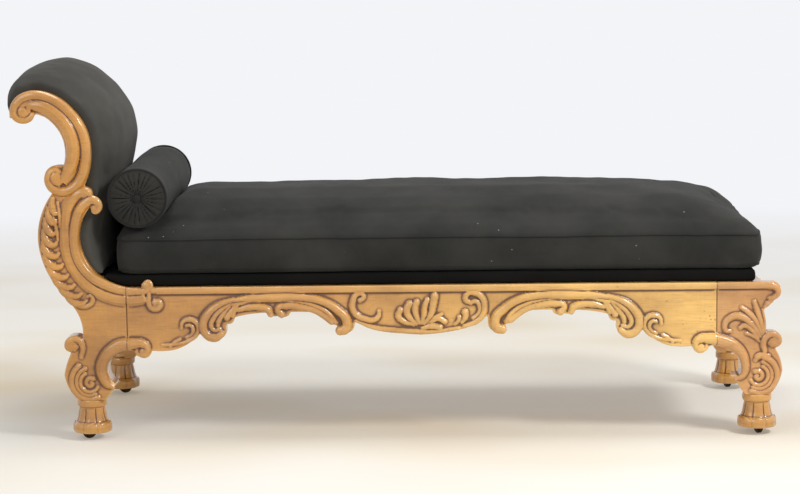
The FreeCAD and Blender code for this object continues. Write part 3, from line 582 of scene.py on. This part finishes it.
# the two last numbers are the remesh's voxel and how many faces are kept
carved("carved_head_scrolls", "head_scrolls", headScroll.values(), mapleHead, 0.0017, 80000)
carved("carved_head_standards", "head_standards", headStandard.values(), mapleHead, 0.0018, 95000, leafRibs)
carved("carved_foot_standards", "foot_standards", footStandard.values(), mapleFoot, 0.0018, 80000,
       lambda shape: coiled(shape, 880, 146, False))
carved("carved_rail_front", "side_rail_front", list(rail.values()) + list(cartouche.values()), mapleRail,
       0.0021, 150000, railCarving, pair=False)
print("carving done")


# Turned feet and caster rollers

corners = ("head_front", "head_back", "foot_front", "foot_back")
# the profile (radius, height) starts in the caster's well and goes round the rim and up the bell
foot = {"profile": [(0, 42), (30, 42), (30, 18), (46, 18.5), (47.5, 22), (47.5, 35), (46, 39), (43, 41.5),
                    (39, 45), (36, 55), (33.5, 68), (31.5, 78), (31, 81), (35, 83), (36, 87), (36, 96),
                    (34.5, 100), (31, 102), (31, 112), (0, 112)],
        "steps": 96, "petals": 8, "bellLow": 41, "bellHigh": 80, "bellCore": 30.5, "petalDepth": 3.2,
        "rimLow": 18, "rimCore": 40, "rimDepth": 1.6, "tipFrom": 30, "tipRise": 3.5}
wheel = {"radius": 17, "half": 6.2, "groove": 1.1, "bore": 3.4, "steps": 48}


def jointOf(name):
    return [joint for joint in frame["joints"] if joint["name"] == name][0]


def spun(profile, steps, cuts=0, closed=False):
    shape = bmesh.new()
    points = [shape.verts.new((r * mm, 0, z * mm)) for r, z in profile]
    following = points[1:] + points[:1] if closed else points[1:]
    edges = [shape.edges.new(pair) for pair in zip(points, following)]
    if cuts:
        bmesh.ops.subdivide_edges(shape, edges=edges, cuts=cuts)
    bmesh.ops.spin(shape, geom=list(shape.verts) + list(shape.edges), cent=(0, 0, 0), axis=(0, 0, 1),
                   angle=math.tau, steps=steps, use_merge=True)
    bmesh.ops.remove_doubles(shape, verts=shape.verts, dist=0.00002)
    bmesh.ops.recalc_face_normals(shape, faces=shape.faces)
    return shape


def turnedFeet():
    shape = bmesh.new()
    low, high, tipFrom = foot["bellLow"], foot["bellHigh"], foot["tipFrom"]
    for corner in corners:
        x, y = jointOf("caster_swivel_" + corner)["pos_m"][:2]
        one = spun(foot["profile"], foot["steps"], cuts=2)
        for vert in one.verts:
            height, radius = vert.co.z / mm, vert.co.xy.length / mm
            fold = abs(math.cos(math.atan2(vert.co.y, vert.co.x) * foot["petals"] / 2))
            if low < height < high and radius > foot["bellCore"]:
                fade = math.sin(math.pi * (height - low) / (high - low)) ** 0.5
                vert.co.xy *= 1 + foot["petalDepth"] * (fold ** 0.45 - 1) * fade / radius
            elif foot["rimLow"] < height <= low and radius > foot["rimCore"]:
                vert.co.xy *= 1 + foot["rimDepth"] * (fold ** 0.5 - 1) / radius
                rise = foot["tipRise"] * mm * max(0, (height - tipFrom) / (low - tipFrom))
                vert.co.z += rise * fold ** 3
        bmesh.ops.translate(one, vec=(x, y, 0), verts=one.verts)
        joined(shape, freed(one, "foot"))
    piece = hollowed(objectOf(freed(shape, "turned_feet_lacquered"), "turned_feet_lacquered"), 6)
    return fitted(piece, mapleFeet, "frame", "maple", "turned_feet")


def roller(corner):
    joint = jointOf("wheel_spin_" + corner)
    r, h, g, b = (wheel[k] for k in ("radius", "half", "groove", "bore"))
    shape = spun([(b, -h), (r - 4, -h), (r - 3, -h + 0.8), (r - 1.2, -h + 1.2), (r, -h + 2.6), (r, -1.2),
                  (r - g, 0), (r, 1.2), (r, h - 2.6), (r - 1.2, h - 1.2), (r - 3, h - 0.8), (r - 4, h),
                  (b, h)],
                 wheel["steps"], closed=True)
    turn = Vector((0, 0, 1)).rotation_difference(Vector(joint["axis"])).to_matrix().to_4x4()
    bmesh.ops.transform(shape, matrix=Matrix.Translation(joint["pos_m"]) @ turn, verts=shape.verts)
    name = "roller_" + corner
    return fitted(objectOf(freed(shape, name), name), rollerBrass, "wheel_" + corner, "wheel",
                  "caster_wheel_" + corner)


turnedFeet()
for corner in corners:
    roller(corner)
print("feet and casters done")


# Soft goods, in metres

cushion = {"voxel": 0.010, "pressure": 4.0, "cap": 0.010, "drawIn": 0.15, "lump": 0.0075, "wrinkle": 0.0018,
           "fill": 0.7, "flatUnder": 0.012, "pucker": 0.0034, "puckerFrom": 0.74, "puckerReach": 0.10,
           "corner": 0.035, "knotGap": 0.03, "weltIn": 0.003, "weltRadius": 0.0026}
headPad = {"voxel": 0.0075, "pressure": 4.0, "cap": 0.009, "drawIn": 0.3, "lump": 0.0014, "wrinkle": 0.0008,
           "fill": 0.85, "tightEdge": 0.05, "crown": (-0.830, 0.790, 142, 30, 0.015)}
bolster = {"voxel": 0.005, "pressure": 4.0, "cap": 0.003, "drawIn": 0.3, "lump": 0.0020, "wrinkle": 0.0014,
           "fill": 0.85, "gathers": 26, "gatherDepth": 0.0052, "gatherRim": 0.97, "gatherFrom": 0.02,
           "gatherFade": 0.008, "dish": 0.004, "dishSpan": 0.3, "weltKnots": 28, "weltIn": 0.0035,
           "weltEnd": 0.003, "weltRadius": 0.0033, "buttonProud": 0.0005, "buttonFlat": 0.5}
deck = {"voxel": 0.0065, "wrinkle": 0.0009, "fill": 0.6}
# how often each kind of crease comes, a metre
creases = {"lump": 5.5, "wrinkle": Vector((26, 11, 30)), "pucker": Vector((7, 34, 40)),
           "deck": Vector((30, 30, 60))}
swellSteps = 20


def softened(node, name, look, rounds, hold=None):
    return remeshed(objectOf(freed(solidOf(node), name), name), look["voxel"], rounds, hold=hold)


def inflated(piece, look, hold=None):
    start = [v.co.copy() for v in piece.data.vertices]
    swelling = piece.modifiers.new("cloth", "CLOTH")
    swelling.settings.quality = 4
    swelling.settings.use_pressure = True
    swelling.settings.uniform_pressure_force = look["pressure"]
    swelling.settings.effector_weights.gravity = 0
    swelling.point_cache.frame_end = swellSteps
    for step in range(1, swellSteps + 1):
        scene.frame_set(step)
    settled(piece)
    scene.frame_set(1)
    outward = [v.normal.copy() for v in piece.data.vertices]
    for vert, rest, normal in zip(piece.data.vertices, start, outward):
        shift = vert.co - rest
        share = hold(rest) if hold else 1.0
        if shift.dot(normal) < 0:                             # the filling keeps the ends from drawing in
            share *= look["drawIn"]
        vert.co = rest + shift * (share * min(1.0, look["cap"] / max(shift.length, 1e-6)))
    return piece


def rumpled(piece, look, hold=None):
    mesh = piece.data
    normals = [v.normal.copy() for v in mesh.vertices]
    for vert, normal in zip(mesh.vertices, normals):
        push = noise.noise(vert.co * creases["lump"]) * look["lump"]
        push += noise.noise(vert.co * creases["wrinkle"]) * look["wrinkle"]
        if "pucker" in look and vert.co.x > look["puckerFrom"]:
            near = min(1.0, (vert.co.x - look["puckerFrom"]) / look["puckerReach"])
            push += near * look["pucker"] * noise.noise(vert.co * creases["pucker"])
        vert.co += normal * (push * (hold(vert.co) if hold else 1.0))
    mesh.update()
    return piece


def finer(piece):
    divide = piece.modifiers.new("finer", "SUBSURF")
    divide.levels = divide.render_levels = 1
    return settled(piece)


def surfaceOf(piece):
    shape = bmesh.new()
    shape.from_mesh(piece.data)
    tree = BVHTree.FromBMesh(shape)
    shape.free()
    return tree


def welt(rings, name, radius, material, body, slot, *replaced):
    shape = bmesh.new()
    for ring in rings:
        joined(shape, tube([(place, radius / mm) for place in ring], name, closed=True, roundness=2))
    return fitted(objectOf(freed(shape, name), name), material, body, slot, *replaced)


def roundedRing(low, high, height):
    corner, arcs = cushion["corner"], []
    across = (low.x + high.x) / 2
    for k, (x, y) in enumerate(((high.x, high.y), (low.x, high.y), (low.x, low.y), (high.x, low.y))):
        centre = Vector((x - math.copysign(corner, x - across), y - math.copysign(corner, y), height))
        turns = [math.radians(90 * (k + step / 4)) for step in range(5)]
        arcs.append([centre + corner * Vector((math.cos(turn), math.sin(turn), 0)) for turn in turns])
    ring = []
    for arc, following in zip(arcs, arcs[1:] + arcs[:1]):
        count = int((following[0] - arc[-1]).length / cushion["knotGap"])
        ring += arc + [arc[-1].lerp(following[0], n / count) for n in range(1, count)]
    return ring


def seatCushion():
    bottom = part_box("seat_cushion")[0].z

    def hold(place):                                          # the underside stays flat on the deck
        return min(1.0, max(0.0, (place.z - bottom) / cushion["flatUnder"]))

    piece = softened("seat_cushion", "seat_cushion_cover", cushion, 6)
    inflated(piece, cushion, hold)
    rumpled(piece, cushion, hold)
    finer(piece)
    fitted(piece, coverCloth, "cushion", "cover_cloth", "seat_cushion")
    surface = surfaceOf(piece)
    low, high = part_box("cushion_piping")
    rings = [[surface.find_nearest(place)[0] for place in roundedRing(low, high, height)]
             for height in (low.z + cushion["weltIn"], high.z - cushion["weltIn"])]
    welt(rings, "seat_cushion_piping", cushion["weltRadius"], pipingCloth, "cushion", "piping_cloth",
         "cushion_piping")


def gathered(mesh, centre, radius, end):                      # folds run in to the button in each end
    rim = bolster["gatherRim"]
    for vert in mesh.vertices:
        off = Vector((vert.co.x - centre.x, vert.co.z - centre.z))
        out = off.length / radius
        side = abs(vert.co.y) - (end - bolster["gatherFrom"])
        if side > 0 and out < rim:
            angle = math.atan2(off.y, off.x)
            jitter = 0.55 * noise.noise(Vector((math.cos(angle) * 2.3, math.sin(angle) * 2.3, vert.co.y * 9)))
            fold = abs(math.sin(angle * bolster["gathers"] / 2 + jitter * 2.2)) ** 0.55
            depth = bolster["gatherDepth"] * math.sin(math.pi * (out / rim)) ** 0.7 * (0.75 + jitter)
            dish = bolster["dish"] * max(0.0, 1 - out / bolster["dishSpan"])
            inward = ((1 - fold) * depth + dish) * min(1.0, side / bolster["gatherFade"])
            vert.co.y -= math.copysign(inward, vert.co.y)
    mesh.update()


def bolsterRoll():
    low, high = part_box("bolster")
    centre, radius = (low + high) / 2, (high.z - low.z) / 2
    piece = softened("bolster", "bolster_cover", bolster, 5)
    inflated(piece, bolster)
    rumpled(piece, bolster)
    finer(piece)
    gathered(piece.data, centre, radius, high.y)
    hollowed(piece, 8)
    fitted(piece, coverCloth, "bolster", "cover_cloth", "bolster")
    low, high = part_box("bolster_piping")
    reach, knots = radius - bolster["weltIn"], bolster["weltKnots"]
    turns = [math.tau * k / knots for k in range(knots)]
    rings = [[(centre.x + reach * math.cos(turn), y, centre.z + reach * math.sin(turn)) for turn in turns]
             for y in (low.y + bolster["weltEnd"], high.y - bolster["weltEnd"])]
    welt(rings, "bolster_welt", bolster["weltRadius"], pipingCloth, "bolster", "piping_cloth",
         "bolster_piping")
    shape = bmesh.new()
    low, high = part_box("bolster_buttons")
    proud, flat = bolster["buttonProud"], Matrix.Diagonal((1, bolster["buttonFlat"], 1, 1))
    for y in (low.y - proud, high.y + proud):
        bmesh.ops.create_uvsphere(shape, u_segments=32, v_segments=18, radius=(high.x - low.x) / 2,
                                  matrix=Matrix.Translation((centre.x, y, centre.z)) @ flat)
    name = "bolster_covered_buttons"
    fitted(objectOf(freed(shape, name), name), pipingCloth, "bolster", "cover_cloth", "bolster_buttons")


def headrestPad():
    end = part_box("head_pad")[1].y

    def hold(place):                                          # drawn tight where it meets the carved sides
        return min(1.0, max(0.0, (end - abs(place.y)) / headPad["tightEdge"]))

    piece = softened("head_pad", "headrest_cover", headPad, 60, hold)
    inflated(piece, headPad, hold)
    rumpled(piece, headPad, hold)
    x, z, turn, spread, push = headPad["crown"]               # fullest over the scroll's upper end
    for vert in piece.data.vertices:
        out = Vector((vert.co.x - x, 0, vert.co.z - z))
        away = (math.degrees(math.atan2(out.z, out.x)) - turn) / spread
        vert.co += out.normalized() * (push * math.exp(-away * away) * hold(vert.co) ** 0.5)
    finer(piece)
    fitted(piece, litHeadrestCloth, "frame", "cover_cloth", "head_pad")


def seatDeck():
    piece = softened("deck_pad", "seat_deck", deck, 2)
    for vert in piece.data.vertices:
        vert.co += vert.normal * (noise.noise(vert.co * creases["deck"]) * deck["wrinkle"])
    fitted(piece, shadedDeckCloth, "frame", "deck_cloth", "deck_pad")


# each node's piece, finish and slot, the axes it is cut along, and how far its middle sags
sheets = {"seat_webbing": ("seat_webbing_straps", webbing, "webbing", (0, 1), (0, 0, -0.0004)),
          "head_back_cloth": ("headrest_back_cover", litHeadrestCloth, "cover_cloth", (0, 1, 2), (0.0035, 0, 0)),
          "head_hessian": ("headrest_hessian", hessian, "hessian", (1, 2), (0.002, 0, 0)),
          "seat_hessian": ("seat_hessian_sheet", hessian, "hessian", (0, 1), (0, 0, -0.0012))}
sheetCut = 0.045


def stretchedSheet(node, name, material, slot, ways, sag):
    low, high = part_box(node)
    width = high.y - low.y
    shape = solidOf(node)
    area = sum(face.calc_area() for face in shape.faces) / 2
    for way in ways:
        normal = Vector([float(k == way) for k in range(3)])
        count = int((high[way] - low[way]) / sheetCut)
        for k in range(1, count):
            everything = list(shape.verts) + list(shape.edges) + list(shape.faces)
            bmesh.ops.bisect_plane(shape, geom=everything, plane_co=low.lerp(high, k / count),
                                   plane_no=normal, dist=1e-6)
    for vert in shape.verts:
        slack = 1 - (2 * (vert.co.y - low.y) / width - 1) ** 4
        spot = Vector((vert.co.x * 13, vert.co.y * 9, round(vert.co.z, 2) * 13))
        vert.co += Vector(sag) * (slack * (0.8 + noise.noise(spot)))
    bmesh.ops.triangulate(shape, faces=[f for f in shape.faces if len(f.verts) > 4])
    piece = fitted(objectOf(freed(shape, name), name), material, "frame", slot, node)
    return piece, (width, area / width)


seatCushion()
bolsterRoll()
headrestPad()
seatDeck()
for node, words in sheets.items():
    piece, flat = stretchedSheet(node, *words)
    node != "seat_webbing"
print("soft goods done")


# The pieces that keep their frame shapes

for name, node in nodes.items():
    finish = maplePlain if name.endswith("cross_rail") else brass if name.startswith("caster") else innerWood
    if not node.hide_render:
        node.data.materials.clear()
        node.data.materials.append(finish)


# Room: a pale floor, soft lamps and the camera

room = {"reach": 16.0, "wall": colour(243, 244, 247), "floor": colour(246, 242, 233),
        "patch": colour(228, 208, 172), "patchShare": 0.75, "nearGlow": 0.28, "skyLight": 0.5}
# place, size across and power of each lamp
lamps = {"key": ((2.4, -2.0, 2.7), 0.9, 78),
         "fill": ((-2.6, -3.6, 2.4), 2.2, 32),
         "top": ((-0.3, 0.1, 3.2), 1.6, 38)}
view = {"place": (0.0985, -6.1734, 1.2737), "yaw": -0.875, "pitch": 7.785, "roll": -0.668,
        "lens": 109.44, "sensor": 36, "farthest": 60}
seenRays = ("Is Camera Ray", "Is Glossy Ray", "Is Transmission Ray")


def anyOf(first, second, third):
    return first.maths("MAXIMUM", second).maths("MAXIMUM", third)


def paleFloor():
    shape = bmesh.new()
    bmesh.ops.create_circle(shape, cap_ends=True, segments=96, radius=room["reach"])
    mesh = freed(shape, "pale_floor")
    f = Finish("pale floor")
    x, y = f.axes()[:2]
    away = (x * x + y * y).maths("SQRT")
    patch = f.range(f.grainy((0.5, 0.8, 1), 1.3, 2.0), 0.45, 0.7, 0.0, room["patchShare"])
    tone = f.blend(patch * f.range(y, -1.2, 0.0), room["floor"], room["patch"])
    tone = f.blend(f.range(away, 1.6, 4.4), tone, room["wall"])
    lit = f.add("BsdfDiffuse", {}, {"Color": tone})
    glow = f.add("Emission", {}, {"Color": tone, "Strength": 1.0})
    share = anyOf(*(f.add("LightPath", outlet=ray) for ray in seenRays))
    share = share * f.range(away, 1.0, 4.6, room["nearGlow"], 1.0)     # shadows show near the couch only
    f.add("OutputMaterial", {}, {"Surface": f.add("MixShader", {}, {0: share, 1: lit, 2: glow})})
    mesh.materials.append(f.material)
    objectOf(mesh, "pale_floor")


def lamp(name, place, size, power):
    light = bpy.data.lights.new(name, "AREA")
    light.shape = "DISK"
    light.size = size
    light.energy = power
    lightObject = bpy.data.objects.new(name, light)
    scene.collection.objects.link(lightObject)
    aim = Vector((0, 0, 0.4)) - Vector(place)
    lightObject.matrix_world = Matrix.Translation(place) @ aim.to_track_quat("-Z", "Y").to_matrix().to_4x4()


def photographer():
    yaw, pitch, roll = (math.radians(view[k]) for k in ("yaw", "pitch", "roll"))
    forward = Vector((math.sin(yaw) * math.cos(pitch), math.cos(yaw) * math.cos(pitch), -math.sin(pitch)))
    right = Vector((math.cos(yaw), -math.sin(yaw), 0))
    up = right.cross(forward)
    tiltedRight = math.cos(roll) * right + math.sin(roll) * up
    tiltedUp = math.cos(roll) * up - math.sin(roll) * right
    lens = bpy.data.cameras.new("camera")
    lens.lens = view["lens"]
    lens.sensor_width = view["sensor"]
    lens.clip_end = view["farthest"]
    camera = bpy.data.objects.new("camera", lens)
    scene.collection.objects.link(camera)
    turned = Matrix((tiltedRight, tiltedUp, -forward)).transposed().to_4x4()
    camera.matrix_world = Matrix.Translation(view["place"]) @ turned
    scene.camera = camera


def sky():
    world = bpy.data.worlds.new("studio")
    world.use_nodes = True
    scene.world = world
    tree = world.node_tree
    backdrop = tree.nodes["Background"]
    backdrop.inputs["Color"].default_value = room["wall"]
    path = tree.nodes.new("ShaderNodeLightPath")
    seen = anyOf(*(Wire(path.outputs[ray]) for ray in seenRays))
    feed(tree, backdrop.inputs["Strength"], seen * (1 - room["skyLight"]) + room["skyLight"])


paleFloor()
for name, (place, size, power) in lamps.items():
    lamp(name, place, size, power)
sky()
photographer()
scene.view_settings.view_transform = "Standard"
print("room done")
